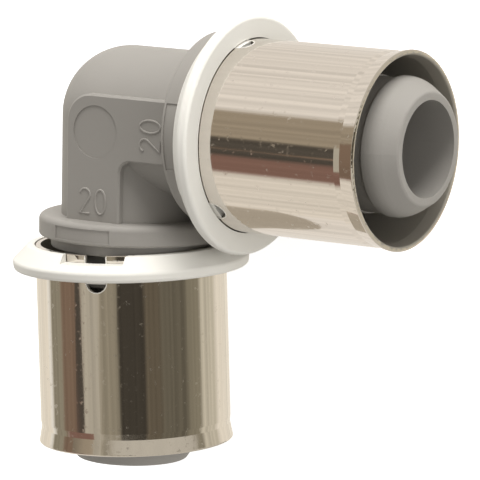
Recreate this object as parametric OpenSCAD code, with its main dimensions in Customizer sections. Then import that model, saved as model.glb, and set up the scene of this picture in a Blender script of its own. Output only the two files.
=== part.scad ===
// Press elbow, 90 degrees, for 20 mm multilayer pipe.
// One moulded elbow body carries two inserts. Each insert has two O-rings, and on
// each arm a plastic stop ring hooks into the neck and holds a steel press sleeve.
// Arm A runs along +X, arm B along -Y, and the marked face looks along +Z.
// The origin is where the axes of the two arms cross. Lengths are in millimetres.

/* [Pipe] */
// Outside diameter of the pipe
pipe_od = 20; // [19:0.1:21]
// Bore of the pipe
pipe_id = 16; // [15.4:0.1:16.4]

/* [Elbow body] */
// Radius of the tube round the bend
body_r = 8.6; // [8:0.1:9.6]
// Bore of the waterway
bore_d = 11; // [8:0.1:11.4]
// How far each end stands from the crossing of the axes
arm_reach = 39.7; // [36:0.1:50]
// Distance from the axis to the flange's first face
flange_near = 10.95; // [10:0.05:14]
// Thickness of the flange
flange_w = 2.5; // [2:0.1:3.2]
// Outside diameter of the flange
flange_d = 22.4; // [21:0.1:24]
// How far the outer bend is pushed out of a plain round corner
bend_push = 0.7; // [0.2:0.1:1.2]

/* [Marking pad] */
// Width of each leg of the pad
pad_w = 7.45; // [5:0.05:9]
// Height of the pad's face above the tube's crest
pad_rise = 0.06; // [0.02:0.01:0.6]
// Radius of the pad's outer corner
pad_corner = 3.3; // [1:0.1:3.6]
// Radius of the fillet in the pad's inner corner
pad_fillet = 1.5; // [0.5:0.1:2]
// Bevel along the pad's edges
pad_bevel = 0.22; // [0.05:0.01:0.3]
// Diameter of the sunk roundel
roundel_d = 6.1; // [3:0.1:6.4]
// Centre of the roundel, measured from the origin
roundel_at = [0.3, -0.6];
// Depth of the roundel and of the flange panels
mark_depth = 0.12; // [0.05:0.01:0.2]
// Width of the panel on each flange, round the rim
panel_w = 7.6; // [4:0.1:10]
// Height of the panel on each flange
panel_h = 1.5; // [0.8:0.1:1.8]

/* [Insert] */
// Room between the insert and the pipe's bore, on the radius
insert_gap = 0.15; // [0.1:0.01:0.3]
// Room between the nose and the pipe's bore, on the radius
nose_gap = 0.05; // [0.02:0.01:0.1]
// Length of the nose, from its back edge to the end face
nose_len = 4; // [3.2:0.1:5]
// Thickness of the O-rings' cord
cord_d = 1.5; // [1.3:0.05:1.6]
// How far the O-rings stand proud of the insert
cord_proud = 0.22; // [0.15:0.01:0.25]
// Distance from the nose's end face to the outer O-ring
seal_outer = 9.2; // [8:0.1:11]
// Distance between the two O-rings
seal_pitch = 5.4; // [3.5:0.1:6]
// Number of grip teeth
teeth = 3; // [1:1:4]
// Pitch of the grip teeth
tooth_pitch = 1.1; // [0.7:0.05:1.1]
// Depth of the grip teeth
tooth_depth = 0.3; // [0.1:0.05:0.5]

/* [Press sleeve] */
// Room between the pipe and the sleeve, on the radius
sleeve_gap = 0.5; // [0.45:0.01:0.9]
// Wall of the sleeve
sleeve_wall = 0.6; // [0.5:0.05:1.2]
// Length of the sleeve
sleeve_len = 23.4; // [20:0.1:26]
// How far the mouth's lip is flared, on the radius
lip_flare = 0.27; // [0.1:0.01:0.5]
// Number of slots in the sleeve and lugs on the ring
slots = 3; // [2:1:4]
// Width of a slot
slot_w = 2.6; // [2:0.1:4]
// Depth of a slot, from the sleeve's inner end
slot_len = 4.4; // [3.8:0.1:6]

/* [Stop ring] */
// Outside diameter of the ring
ring_d = 27.6; // [26:0.1:30]
// Diameter where the ring's cone starts, on the body side
ring_small_d = 24.1; // [23:0.1:25.5]
// Length of the ring
ring_len = 2.85; // [2.6:0.05:3.2]
// Length of the cone
ring_cone_len = 1.75; // [1.2:0.05:2]
// Width of the notch over each slot
notch_w = 7.7; // [4:0.1:9]
// Depth of the notch
notch_len = 0.93; // [0.4:0.01:1.1]
// How far a lug reaches past the ring's outer face
lug_reach = 0.5; // [0.3:0.05:0.8]
// How far each lug hooks under the neck's shoulder
hook_grip = 0.9; // [0.7:0.05:1.2]

/* [Loose fit of the sleeves] */
// Room for the ring to slide along the neck
slide_play = 0.78; // [0.5:0.01:1]
// How far ring and sleeve A hang to one side, down the photographed view
sag_a = 0.45; // [0:0.01:0.45]
// Sideways lean of ring and sleeve B, in degrees
lean_b_side = 2; // [0:0.1:2]
// Lean of ring and sleeve B towards the plain face, in degrees
lean_b_back = 1.4; // [0:0.1:1.4]
// Turn of ring and sleeve A, from the marked face, in degrees
turn_a = 75; // [0:1:119]
// Turn of ring and sleeve B, from the marked face, in degrees
turn_b = 14; // [0:1:119]

/* [Hidden] */
$fn = 96;

grey = "#8c8b89";
white = "#e9e7e0";
steel = "#cbc7bd";
black = "#1d1d1f";

// running clearances
touch = 0.04;
slip = 0.1;
seat = 0.02;
cut = 1;

// radii, worked outwards from the pipe
bore_r = bore_d / 2;
insert_r = pipe_id / 2 - insert_gap;
nose_r = pipe_id / 2 - nose_gap;
front_r = insert_r - 0.2;
sleeve_in = pipe_od / 2 + sleeve_gap;
sleeve_out = sleeve_in + sleeve_wall;
neck_r = sleeve_in - 0.7;
hook_r = neck_r - hook_grip;
groove_r = hook_r - 0.65;
ring_in = sleeve_out + slip;
flange_r = flange_d / 2;

// places along an arm, from the crossing of the axes
flange_far = flange_near + flange_w;
lug_near = 1.45;
lug_far = ring_len + lug_reach;
groove_near = flange_far + lug_near - 0.1;
groove_far = flange_far + lug_far + slide_play + 0.4;
pipe_stop = groove_far + 0.5;
nose_back = arm_reach - nose_len;
front_near = nose_back - 3;
seal_at = [arm_reach - seal_outer - seal_pitch, arm_reach - seal_outer];
seal_r = insert_r + cord_proud - cord_d / 2;
seal_groove_w = cord_d * 1.35;
seal_floor = seal_r - cord_d / 2 - seat;
home_a = flange_far + touch;
home_b = flange_far + slide_play;
lean_at = 26.5;

// A corner of an outline is [across, along, radius]. A rounded corner is replaced by
// the two points where its arc starts and ends.
function xy(p) = [p[0], p[1]];
function unit(v) = v / norm(v);
function half_turn(p, a, b) = acos(unit(xy(a) - xy(p)) * unit(xy(b) - xy(p))) / 2;
function arc_start(p, a, b) = xy(p) + unit(xy(a) - xy(p)) * p[2] / tan(half_turn(p, a, b));
function arc_centre(p, a, b) =
    xy(p) + unit(unit(xy(a) - xy(p)) + unit(xy(b) - xy(p))) * p[2] / sin(half_turn(p, a, b));

// An outline whose outer corners are rounded by true arcs
module rounded_outline(pts) {
    n = len(pts);
    corners = [for (i = [0 : n - 1]) [pts[i], pts[(i + n - 1) % n], pts[(i + 1) % n]]];
    polygon([for (c = corners)
        each (c[0][2] == 0 ? [xy(c[0])] : [arc_start(c[0], c[1], c[2]), arc_start(c[0], c[2], c[1])])]);
    for (c = corners)
        if (c[0][2] > 0) {
            mid = arc_centre(c[0], c[1], c[2]);
            intersection() {
                translate(mid) circle(r = c[0][2]);
                polygon([mid, arc_start(c[0], c[1], c[2]), xy(c[0]), arc_start(c[0], c[2], c[1])]);
            }
        }
}

// Arm A runs along +X and arm B along -Y. Turned parts are drawn along +Z, with the
// marked face in the direction that their angles count from.
module on_arm_a() { rotate([0, 90, 0]) rotate(180) children(); }
module on_arm_b() { rotate([90, 0, 0]) rotate(90) children(); }

// The loose ring and sleeve of each arm, where they hang in the photograph
module hung_on_a() { translate([0, -sag_a, 0]) on_arm_a() translate([0, 0, home_a]) rotate(-turn_a) children(); }
module hung_on_b() {
    translate([0, -lean_at, 0])
        rotate([lean_b_back, 0, 0])
            rotate([0, 0, lean_b_side])
                translate([0, lean_at, 0])
                    on_arm_b() translate([0, 0, home_b]) rotate(-turn_b) children();
}

// A tube of radius r that turns the corner, from arm to arm
module bent_rod(r, push, reach) {
    rotate([0, 90, 0]) translate([0, 0, -push]) cylinder(r = r, h = reach + push);
    rotate([90, 0, 0]) translate([0, 0, -push]) cylinder(r = r, h = reach + push);
    translate([-push, push, 0])
        rotate([0, 0, 90])
            rotate_extrude(angle = 90)
                intersection() {
                    translate([-push, 0]) circle(r = r);
                    translate([0, -r - cut]) square([r + cut, 2 * (r + cut)]);
                }
}

// Half section of one arm, from the flange to the nose
module arm_outline() {
    grooves = [for (t = seal_at) each [
        [insert_r, t - seal_groove_w / 2, 0], [seal_floor, t - seal_groove_w / 2, 0],
        [seal_floor, t + seal_groove_w / 2, 0], [insert_r, t + seal_groove_w / 2, 0]]];
    grip = [for (i = [0 : teeth - 1]) each [
        [insert_r - tooth_depth, pipe_stop + 0.6 + i * tooth_pitch, 0],
        [insert_r, pipe_stop + 0.6 + i * tooth_pitch, 0],
        [insert_r - tooth_depth, pipe_stop + 0.6 + (i + 1) * tooth_pitch, 0]]];
    rounded_outline(concat(
        [[0, flange_near, 0], [flange_r, flange_near, 0.7], [flange_r, flange_far, 0.3],
         [neck_r, flange_far, 0], [neck_r, groove_near, 0.2], [groove_r, groove_near, 0],
         [groove_r, groove_far, 0], [neck_r, groove_far, 0.1], [neck_r, pipe_stop, 0.2],
         [insert_r - tooth_depth, pipe_stop, 0]],
        grip,
        [[insert_r, pipe_stop + 0.6 + teeth * tooth_pitch, 0]],
        grooves,
        [[insert_r, front_near, 0.1], [front_r, front_near, 0], [front_r, nose_back, 0],
         [nose_r, nose_back, 0.2], [nose_r, arm_reach - 2.4, 3.6],
         [bore_r + 0.9, arm_reach, 0.4], [0, arm_reach, 0]]));
}

// The sunk panel on a flange's rim, on the marked side
module flange_panel() {
    span = 2 * asin(panel_w / 2 / flange_r);
    mid = flange_near + 0.6 + panel_h / 2;
    rotate(-span / 2)
        rotate_extrude(angle = span)
            translate([flange_r - mark_depth, mid - panel_h / 2])
                square([cut, panel_h]);
}

// One leg of the pad, with bevelled edges, from x = from to x = to
module pad_leg(from, to) {
    top = body_r + pad_rise;
    translate([from, 0, 0])
        rotate([90, 0, 90])
            linear_extrude(to - from)
                polygon([[-pad_w / 2, 0], [pad_w / 2, 0], [pad_w / 2, top - pad_bevel],
                         [pad_w / 2 - pad_bevel, top], [-pad_w / 2 + pad_bevel, top],
                         [-pad_w / 2, top - pad_bevel]]);
}

// The raised L-shaped pad that carries the marks
module marking_pad() {
    top = body_r + pad_rise;
    inside = pad_w / 2 + pad_fillet;
    corner_at = pad_w / 2 - pad_corner;
    pad_leg(-corner_at, flange_near + 0.2);
    rotate(-90) pad_leg(-corner_at, flange_near + 0.2);
    translate([-corner_at, corner_at, 0])
        rotate_extrude()
            polygon([[0, 0], [pad_corner, 0], [pad_corner, top - pad_bevel],
                     [pad_corner - pad_bevel, top], [0, top]]);
    difference() {
        translate([pad_w / 2 - pad_bevel - 0.1, -inside, body_r / 2])
            cube([pad_fillet + pad_bevel + 0.1, pad_fillet + pad_bevel + 0.1, top - body_r / 2]);
        translate([inside, -inside, 0])
            rotate_extrude()
                polygon([[0, 0], [pad_fillet, 0], [pad_fillet, top - pad_bevel],
                         [pad_fillet + pad_bevel + cut, top + cut], [0, top + cut]]);
    }
}

module elbow_body() color(grey)
    difference() {
        union() {
            bent_rod(body_r, bend_push, flange_near + 0.5);
            on_arm_a() rotate_extrude() arm_outline();
            on_arm_b() rotate_extrude() arm_outline();
            marking_pad();
        }
        bent_rod(bore_r, bend_push * bore_r / body_r, arm_reach + cut);
        on_arm_a() flange_panel();
        on_arm_b() flange_panel();
        translate([roundel_at[0], roundel_at[1], body_r + pad_rise - mark_depth])
            cylinder(d = roundel_d, h = cut);
    }

// A stop ring, drawn with its body-side face at z = 0
module stop_ring() color(white) {
    difference() {
        rotate_extrude()
            rounded_outline([
                [ring_in, 0, 0], [ring_small_d / 2, 0, 0.3], [ring_d / 2, ring_cone_len, 0.5],
                [ring_d / 2 - 0.12, ring_len, 0.45], [ring_in, ring_len, 0]]);
        for (i = [0 : slots - 1])
            rotate(i * 360 / slots)
                translate([0, -notch_w / 2, -cut])
                    cube([ring_d, notch_w, notch_len + cut]);
    }
    for (i = [0 : slots - 1])
        rotate(i * 360 / slots)
            intersection() {
                rotate_extrude()
                    polygon([[hook_r, lug_near], [ring_in + 0.4, lug_near], [ring_in + 0.4, ring_len - 0.3],
                             [sleeve_out - 0.05, ring_len - 0.3], [sleeve_out - 0.05, lug_far],
                             [hook_r, lug_far]]);
                translate([0, slip - slot_w / 2, 0])
                    cube([ring_d, slot_w - 2 * slip, sleeve_len]);
            }
}

// A press sleeve, drawn with its slotted end at the ring's body-side face
module press_sleeve() color(steel)
    difference() {
        rotate_extrude()
            rounded_outline([
                [sleeve_in, touch, 0], [sleeve_out, touch, 0.1],
                [sleeve_out, sleeve_len - 2.6, 0], [sleeve_out - 0.08, sleeve_len - 1.9, 0],
                [sleeve_out + lip_flare, sleeve_len, 0.2],
                [sleeve_in + lip_flare, sleeve_len, 0.2],
                [sleeve_in, sleeve_len - 1.5, 0]]);
        for (i = [0 : slots - 1])
            rotate(i * 360 / slots) {
                translate([0, -slot_w / 2, -cut])
                    cube([sleeve_out + cut, slot_w, slot_len - slot_w / 2 + cut]);
                translate([0, 0, slot_len - slot_w / 2])
                    rotate([0, 90, 0])
                        cylinder(d = slot_w, h = sleeve_out + cut);
            }
    }

// An O-ring, drawn in its groove
module o_ring(place) color(black)
    translate([0, 0, seal_at[place]])
        rotate_extrude()
            translate([seal_r, 0])
                circle(d = cord_d);

module stop_ring_a() { hung_on_a() stop_ring(); }
module stop_ring_b() { hung_on_b() stop_ring(); }
module press_sleeve_a() { hung_on_a() press_sleeve(); }
module press_sleeve_b() { hung_on_b() press_sleeve(); }
module o_ring_a_inner() { on_arm_a() o_ring(0); }
module o_ring_a_outer() { on_arm_a() o_ring(1); }
module o_ring_b_inner() { on_arm_b() o_ring(0); }
module o_ring_b_outer() { on_arm_b() o_ring(1); }

elbow_body();
stop_ring_a();
stop_ring_b();
press_sleeve_a();
press_sleeve_b();
o_ring_a_inner();
o_ring_a_outer();
o_ring_b_inner();
o_ring_b_outer();
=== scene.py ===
# %% [markdown]
# # A press elbow for plastic heating pipe
# The object is a right-angle fitting: a grey moulded elbow, two white stop rings and two bright
# steel press sleeves. The solid parts arrive finished from the drawing; this lesson gives them
# their real surfaces, adds the small raised marks and sets up the studio.

# %% Load the solid parts
import math
import bmesh
import bpy
from mathutils import Matrix, Vector


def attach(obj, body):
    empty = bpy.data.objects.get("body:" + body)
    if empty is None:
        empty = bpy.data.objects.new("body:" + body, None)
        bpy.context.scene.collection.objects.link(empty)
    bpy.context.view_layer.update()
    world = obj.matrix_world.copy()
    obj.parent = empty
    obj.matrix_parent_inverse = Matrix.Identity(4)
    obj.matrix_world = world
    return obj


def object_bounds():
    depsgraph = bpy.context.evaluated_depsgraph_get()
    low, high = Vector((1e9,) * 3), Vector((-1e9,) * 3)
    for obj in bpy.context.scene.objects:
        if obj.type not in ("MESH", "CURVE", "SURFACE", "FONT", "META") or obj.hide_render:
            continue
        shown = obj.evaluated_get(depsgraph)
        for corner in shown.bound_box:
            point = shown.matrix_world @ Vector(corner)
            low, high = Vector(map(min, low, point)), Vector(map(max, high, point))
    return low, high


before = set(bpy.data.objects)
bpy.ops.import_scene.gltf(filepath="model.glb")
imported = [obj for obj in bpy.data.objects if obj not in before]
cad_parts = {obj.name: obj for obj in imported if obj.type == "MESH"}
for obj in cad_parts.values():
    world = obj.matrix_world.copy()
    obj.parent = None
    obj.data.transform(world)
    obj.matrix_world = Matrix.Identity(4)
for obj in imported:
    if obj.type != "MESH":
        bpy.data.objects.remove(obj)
SOLID_LOW, SOLID_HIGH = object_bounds()
print("solid parts:", ", ".join(sorted(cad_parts)))
print("box in mm:", [round(v * 1000, 1) for v in SOLID_HIGH - SOLID_LOW])

# %% [markdown]
# ## The camera
# The picture looks down on the fitting as it lies on its side. The lens is long, so that the
# two mouths keep nearly parallel sides, as in a catalogue picture.

# %% Camera
RIGHT = Vector((0.8282, 0.0171, -0.5601)).normalized()
BACK = Vector((0.5516, 0.1509, 0.8203)).normalized()
UP = BACK.cross(RIGHT)

camera_data = bpy.data.cameras.new("camera")
camera_data.sensor_width = 36.0
camera_data.lens = 327.65
camera_data.clip_start = 0.05
camera_data.clip_end = 20.0
camera = bpy.data.objects.new("camera", camera_data)
turn = Matrix((RIGHT, UP, BACK)).transposed()
camera.matrix_world = Matrix.Translation(Vector((0.29078, 0.06284, 0.41053))) @ turn.to_4x4()
bpy.context.scene.collection.objects.link(camera)
bpy.context.scene.camera = camera
print("camera stands", round(camera.location.length * 1000), "mm from the crossing of the arms")

# %% Helpers for materials
def linear(hex_colour):
    """Turns a colour written as #rrggbb into the linear values that a shader takes."""
    parts = [int(hex_colour[i:i + 2], 16) / 255 for i in (1, 3, 5)]
    return [p / 12.92 if p <= 0.04045 else ((p + 0.055) / 1.055) ** 2.4 for p in parts] + [1.0]


def add(tree, kind, settings=None, **links):
    """Adds a node. settings are its properties; links are values or sockets for its inputs."""
    node = tree.nodes.new(kind)
    for name, value in (settings or {}).items():
        setattr(node, name, value)
    for name, value in links.items():
        key = int(name[1:]) if name[0] == "_" else name.replace("_", " ")
        socket = node.inputs[key]
        if isinstance(value, bpy.types.NodeSocket):
            tree.links.new(value, socket)
        else:
            socket.default_value = value
    return node


def new_material(name):
    """An empty material with no nodes, not even its output, ready for nodes."""
    material = bpy.data.materials.new(name)
    material.use_nodes = True
    material.node_tree.nodes.clear()
    return material, material.node_tree


def dress(material, *nodes):
    for name in nodes:
        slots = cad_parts[name].data.materials
        slots.clear()
        slots.append(material)

# %% [markdown]
# ## Surfaces
# The body is injection moulded from PPSU, a tough grey plastic, and keeps the fine satin grain
# of its mould. The rings are moulded from nylon, warm white. The sleeves are drawn from
# stainless steel tube, so their bright surface carries fine lines along the arm.

# %% Grey and white plastic
def moulded(name, colour, roughness, grain_per_mm, depth_mm):
    material, tree = new_material(name)
    place = add(tree, "ShaderNodeTexCoord").outputs["Object"]
    cloud = add(tree, "ShaderNodeTexNoise", Vector=place, Scale=120.0, Detail=2.0)
    tint = add(tree, "ShaderNodeMix", {"data_type": "RGBA"}, _0=cloud.outputs[0],
               _6=linear(colour), _7=[0.94 * c for c in linear(colour)[:3]] + [1.0])
    grain = add(tree, "ShaderNodeTexNoise", Vector=place, Scale=1000.0 * grain_per_mm, Detail=2.0)
    bump = add(tree, "ShaderNodeBump", Height=grain.outputs[0], Strength=0.3, Distance=depth_mm / 1000)
    skin = add(tree, "ShaderNodeBsdfPrincipled", Base_Color=tint.outputs[2], Roughness=roughness,
               Normal=bump.outputs[0])
    add(tree, "ShaderNodeOutputMaterial", Surface=skin.outputs[0])
    return material


ppsu = moulded("ppsu_moulded", "#928e88", 0.5, 3.0, 0.03)
polyamide = moulded("polyamide_moulded", "#e2dfd7", 0.45, 2.0, 0.01)
dress(ppsu, "elbow_body")
dress(polyamide, "stop_ring_a", "stop_ring_b")

# %% Steel
def drawn_steel(name, along, across):
    """Bright drawn tube. along stretches the lines on the tube's axis; across masks that axis."""
    material, tree = new_material(name)
    place = add(tree, "ShaderNodeTexCoord").outputs["Object"]
    lines = add(tree, "ShaderNodeMapping", Vector=place, Scale=along)
    fine = add(tree, "ShaderNodeTexNoise", Vector=lines.outputs[0], Scale=1200.0, Detail=3.0)
    scuff = add(tree, "ShaderNodeTexNoise", Vector=place, Scale=1600.0, Detail=4.0)
    haze = add(tree, "ShaderNodeMapRange", _0=scuff.outputs[0], _1=0.6, _2=0.72, _3=0.07, _4=0.3)
    bump = add(tree, "ShaderNodeBump", Height=fine.outputs[0], Strength=0.2, Distance=0.00003)
    tint = add(tree, "ShaderNodeMapRange", _0=fine.outputs[0], _3=0.88, _4=1.0)
    colour = add(tree, "ShaderNodeMix", {"data_type": "RGBA", "blend_type": "MULTIPLY"}, _0=1.0,
                 _6=linear("#ebe5de"), _7=tint.outputs[0])
    outside = add(tree, "ShaderNodeBsdfPrincipled", Base_Color=colour.outputs[2], Metallic=1.0,
                  Roughness=haze.outputs[0], Normal=bump.outputs[0])
    # the inside keeps the dull skin of the drawing tool; its normals look at the tube's axis
    inside = add(tree, "ShaderNodeBsdfPrincipled", Base_Color=linear("#9f998e"), Metallic=0.35,
                 Roughness=0.4)
    spoke = add(tree, "ShaderNodeVectorMath", {"operation": "MULTIPLY"}, _0=place, _1=across)
    facing = add(tree, "ShaderNodeVectorMath", {"operation": "DOT_PRODUCT"}, _0=spoke.outputs[0],
                 _1=add(tree, "ShaderNodeNewGeometry").outputs["Normal"])
    is_inside = add(tree, "ShaderNodeMath", {"operation": "LESS_THAN"}, _0=facing.outputs["Value"], _1=0.0)
    both = add(tree, "ShaderNodeMixShader", _0=is_inside.outputs[0], _1=outside.outputs[0],
               _2=inside.outputs[0])
    add(tree, "ShaderNodeOutputMaterial", Surface=both.outputs[0])
    return material


dress(drawn_steel("stainless_drawn_a", (0.02, 1.0, 1.0), (0.0, 1.0, 1.0)), "press_sleeve_a")
dress(drawn_steel("stainless_drawn_b", (1.0, 0.02, 1.0), (1.0, 0.0, 1.0)), "press_sleeve_b")

# painted highlight: this pale, half-matte steel for the slot rims stays bright under any light, standing in for
# the glint on the punched edges
slot_rim_painted_glint, tree = new_material("punched_rim_painted_glint")
skin = add(tree, "ShaderNodeBsdfPrincipled", Base_Color=linear("#f0ede6"), Metallic=0.4, Roughness=0.35)
add(tree, "ShaderNodeOutputMaterial", Surface=skin.outputs[0])

# %% Rubber
epdm = moulded("epdm_moulded", "#1c1c1e", 0.42, 4.0, 0.01)
dress(epdm, "o_ring_a_inner", "o_ring_a_outer", "o_ring_b_inner", "o_ring_b_outer")

# %% [markdown]
# ## Raised size numbers
# The mould leaves the size number 20 as thin ridges on the pad, once for each arm. Each digit
# is drawn as a line in its own small frame, then swept to a round ridge half sunk in the pad.

# %% A ridge along a line
MM = 0.001
PAD_TOP = 8.66


def ridge(name, points_mm, radius_mm, closed, material):
    """Sweeps a round ridge along a line and turns it into a mesh that rides on the part."""
    line = bpy.data.curves.new(name, "CURVE")
    line.dimensions = "3D"
    line.bevel_depth = radius_mm * MM
    line.bevel_resolution = 3
    line.use_fill_caps = True
    spline = line.splines.new("POLY")
    spline.points.add(len(points_mm) - 1)
    for point, place in zip(spline.points, points_mm):
        point.co = (*(Vector(place) * MM), 1.0)
    spline.use_cyclic_u = closed
    source = bpy.data.objects.new(name + "_line", line)
    mesh = bpy.data.meshes.new_from_object(source)
    bpy.data.objects.remove(source)
    for face in mesh.polygons:
        face.use_smooth = True
    mesh.materials.clear()
    mesh.materials.append(material)
    piece = bpy.data.objects.new(name, mesh)
    bpy.context.scene.collection.objects.link(piece)
    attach(piece, "root")
    return piece

# %% The digits
def arc(cx, cy, rx, ry, start, end, steps=24):
    """Points on an ellipse, from one angle to another, in degrees."""
    angles = [math.radians(start + (end - start) * i / steps) for i in range(steps + 1)]
    return [(cx + rx * math.cos(t), cy + ry * math.sin(t)) for t in angles]


ZERO = arc(1.08, 0, 0.72, 1.42, 0, 345, 32)
TWO = arc(-1.08, 0.72, 0.7, 0.7, 165, -35) + [(-1.8, -1.42), (-0.38, -1.42)]


def number(name, centre, turn, material):
    """Sets both digits with their middle at centre, turned by an angle in degrees."""
    c, s = math.cos(math.radians(turn)), math.sin(math.radians(turn))
    for digit, outline, closed in (("two", TWO, False), ("zero", ZERO, True)):
        points = [(centre[0] + c * x - s * y, centre[1] + s * x + c * y, PAD_TOP - 0.05)
                  for x, y in outline]
        ridge(name + "_" + digit, points, 0.16, closed, material)


number("size_mark_b", (0.08, -8.66), 0, ppsu)
number("size_mark_a", (8.0, -0.47), 90, ppsu)
print("size numbers stand", round(0.16 - 0.05, 2), "mm above the pad")

# %% [markdown]
# ## Punched slots
# Each sleeve's three slots are punched, and a thin ridge runs round each one for the punched edge. The ridge's
# pale, half-matte steel is a painted highlight: it stands in for the glint along that edge.

# %% Rims of the slots
SLEEVE_OUT, SLOT_W, SLOT_LEN = 11.1, 2.6, 4.4
HOME_A, HOME_B, SAG_A, LEAN_AT = 13.49, 14.23, 0.45, 26.5
TURN_A, TURN_B = 75, 14


def spin(degrees, axis):
    return Matrix.Rotation(math.radians(degrees), 4, axis)


def shift(x, y, z):
    return Matrix.Translation(Vector((x, y, z)))


HUNG_A = shift(0, -SAG_A, 0) @ spin(90, "Y") @ spin(180, "Z") @ shift(0, 0, HOME_A) @ spin(-TURN_A, "Z")
HUNG_B = (shift(0, -LEAN_AT, 0) @ spin(1.4, "X") @ spin(2, "Z") @ shift(0, LEAN_AT, 0)
          @ spin(90, "X") @ spin(90, "Z") @ shift(0, 0, HOME_B) @ spin(-TURN_B, "Z"))

half = SLOT_W / 2
outline = [(-half, 0.15)] + arc(0, SLOT_LEN - half, half, half, 180, 0, 20) + [(half, 0.15)]
for arm, hung in (("a", HUNG_A), ("b", HUNG_B)):
    for i in range(3):
        place = hung @ spin(120 * i, "Z")
        points = []
        for y, u in outline:
            lift = math.sqrt(SLEEVE_OUT ** 2 - y ** 2)
            points.append(place @ Vector((lift, y, u)))
        # each rim ridge wears the painted-highlight steel, a pale glint along the punched edge
        ridge("slot_rim_" + arm + "_" + str(i + 1), points, 0.07, False, slot_rim_painted_glint)
print("six slot rims")

# %% [markdown]
# ## Studio
# The fitting lies on white paper. Bright steel shows only what stands round it, so the room is
# painted in bands for mirror-like rays: pale walls, a brown board, a dark gap and a red-brown
# one. All other light comes from a plain white room and soft lamps.

# %% Floor
bpy.ops.mesh.primitive_plane_add(size=4.0, location=(0, 0, SOLID_LOW.z - 0.0002))
floor = bpy.context.object
floor.name = "floor"
paper, tree = new_material("paper")
ray = add(tree, "ShaderNodeLightPath")
matt = add(tree, "ShaderNodeBsdfDiffuse", Color=linear("#f2f2f2"))
glow = add(tree, "ShaderNodeEmission", Strength=0.62)
lit = add(tree, "ShaderNodeAddShader", _0=matt.outputs[0], _1=glow.outputs[0])
clear = add(tree, "ShaderNodeBsdfTransparent")
first = add(tree, "ShaderNodeMixShader", _0=ray.outputs["Is Camera Ray"], _1=matt.outputs[0], _2=lit.outputs[0])
last = add(tree, "ShaderNodeMixShader", _0=ray.outputs["Is Glossy Ray"], _1=first.outputs[0], _2=clear.outputs[0])
add(tree, "ShaderNodeOutputMaterial", Surface=last.outputs[0])
floor.data.materials.append(paper)

# %% The painted room
world = bpy.data.worlds.new("studio")
bpy.context.scene.world = world
world.use_nodes = True
tree = world.node_tree
tree.nodes.clear()
aim = add(tree, "ShaderNodeSeparateXYZ", Vector=add(tree, "ShaderNodeTexCoord").outputs["Generated"]).outputs


def sums(kind, first_value, second_value=0.0, third_value=0.0):
    return add(tree, "ShaderNodeMath", {"operation": kind}, _0=first_value, _1=second_value,
               _2=third_value).outputs[0]


def bands(side, stops, soft=2.0):
    """Colours by the angle from the side axis up towards +Z, in degrees from -180 to 180."""
    angle = sums("MULTIPLY_ADD", sums("ARCTAN2", aim[2], side), 0.5 / math.pi, 0.5)
    streak = add(tree, "ShaderNodeTexNoise", {"noise_dimensions": "1D"}, W=angle, Scale=70.0, Detail=3.0)
    ramp = add(tree, "ShaderNodeValToRGB", Fac=angle)
    band = ramp.color_ramp
    band.elements[0].position = 0.0
    band.elements[0].color = linear(stops[0][1])
    band.elements[1].position = 1.0
    band.elements[1].color = linear(stops[-1][1])
    for (start, colour), (before, colour_before) in zip(stops[1:], stops):
        for at, shade in ((start - soft, colour_before), (start + soft, colour)):
            stop = band.elements.new((at + 180) / 360)
            stop.color = linear(shade)
    wave = add(tree, "ShaderNodeMapRange", _0=streak.outputs[0], _1=0.3, _2=0.7, _3=0.84, _4=1.1)
    return add(tree, "ShaderNodeMix", {"data_type": "RGBA", "blend_type": "MULTIPLY"}, _0=1.0,
               _6=ramp.outputs[0], _7=wave.outputs[0]).outputs[2]


FOR_A = [(-180, "#f1eae0"), (55, "#a69985"), (87, "#565048"), (108, "#87695d"), (129, "#ebe3d6")]
FOR_B = [(-180, "#f4ecdc"), (-62, "#cfc8b6"), (-34, "#8d8674"), (-14, "#6d6759"), (21, "#6a6152"),
         (40, "#47423a"), (73, "#9a9280"), (95, "#bdb6a6"), (120, "#85705f"), (151, "#98917f"),
         (172, "#f0ece2")]
gap_a = sums("ABSOLUTE", sums("ADD", aim[0], 0.55))
gap_b = sums("ABSOLUTE", sums("ADD", aim[1], 0.15))
is_a = sums("LESS_THAN", gap_a, gap_b)
far_off = sums("GREATER_THAN", sums("MINIMUM", gap_a, gap_b), 0.28)
paint = add(tree, "ShaderNodeMix", {"data_type": "RGBA"}, _0=is_a,
            _6=bands(aim[0], FOR_B), _7=bands(aim[1], FOR_A)).outputs[2]
painted = add(tree, "ShaderNodeMix", {"data_type": "RGBA"}, _0=far_off, _6=paint,
              _7=linear("#c9c3b6")).outputs[2]
ray = add(tree, "ShaderNodeLightPath")
plain = add(tree, "ShaderNodeBackground", Color=(1.0, 0.985, 0.96, 1.0), Strength=0.55)
room = add(tree, "ShaderNodeBackground", Color=painted, Strength=1.0)
pick = add(tree, "ShaderNodeMixShader", _0=ray.outputs["Is Glossy Ray"], _1=plain.outputs[0], _2=room.outputs[0])
add(tree, "ShaderNodeOutputWorld", Surface=pick.outputs[0])

# %% The lamps
def lamp(name, place, size, power):
    data = bpy.data.lights.new(name, "AREA")
    data.shape = "SQUARE"
    data.size = size
    data.energy = power
    made = bpy.data.objects.new(name, data)
    made.location = place
    made.rotation_euler = (-Vector(place)).to_track_quat("-Z", "Y").to_euler()
    made.visible_glossy = False
    bpy.context.scene.collection.objects.link(made)
    return made


lamp("key", (0.1, 0.85, 0.15), 0.5, 10.5)
lamp("fill_right", (0.85, 0.1, 0.25), 0.5, 3.2)
lamp("fill_left", (-0.8, 0.3, 0.15), 0.5, 1.6)

# %% Finish
bpy.context.scene.view_settings.view_transform = "Standard"
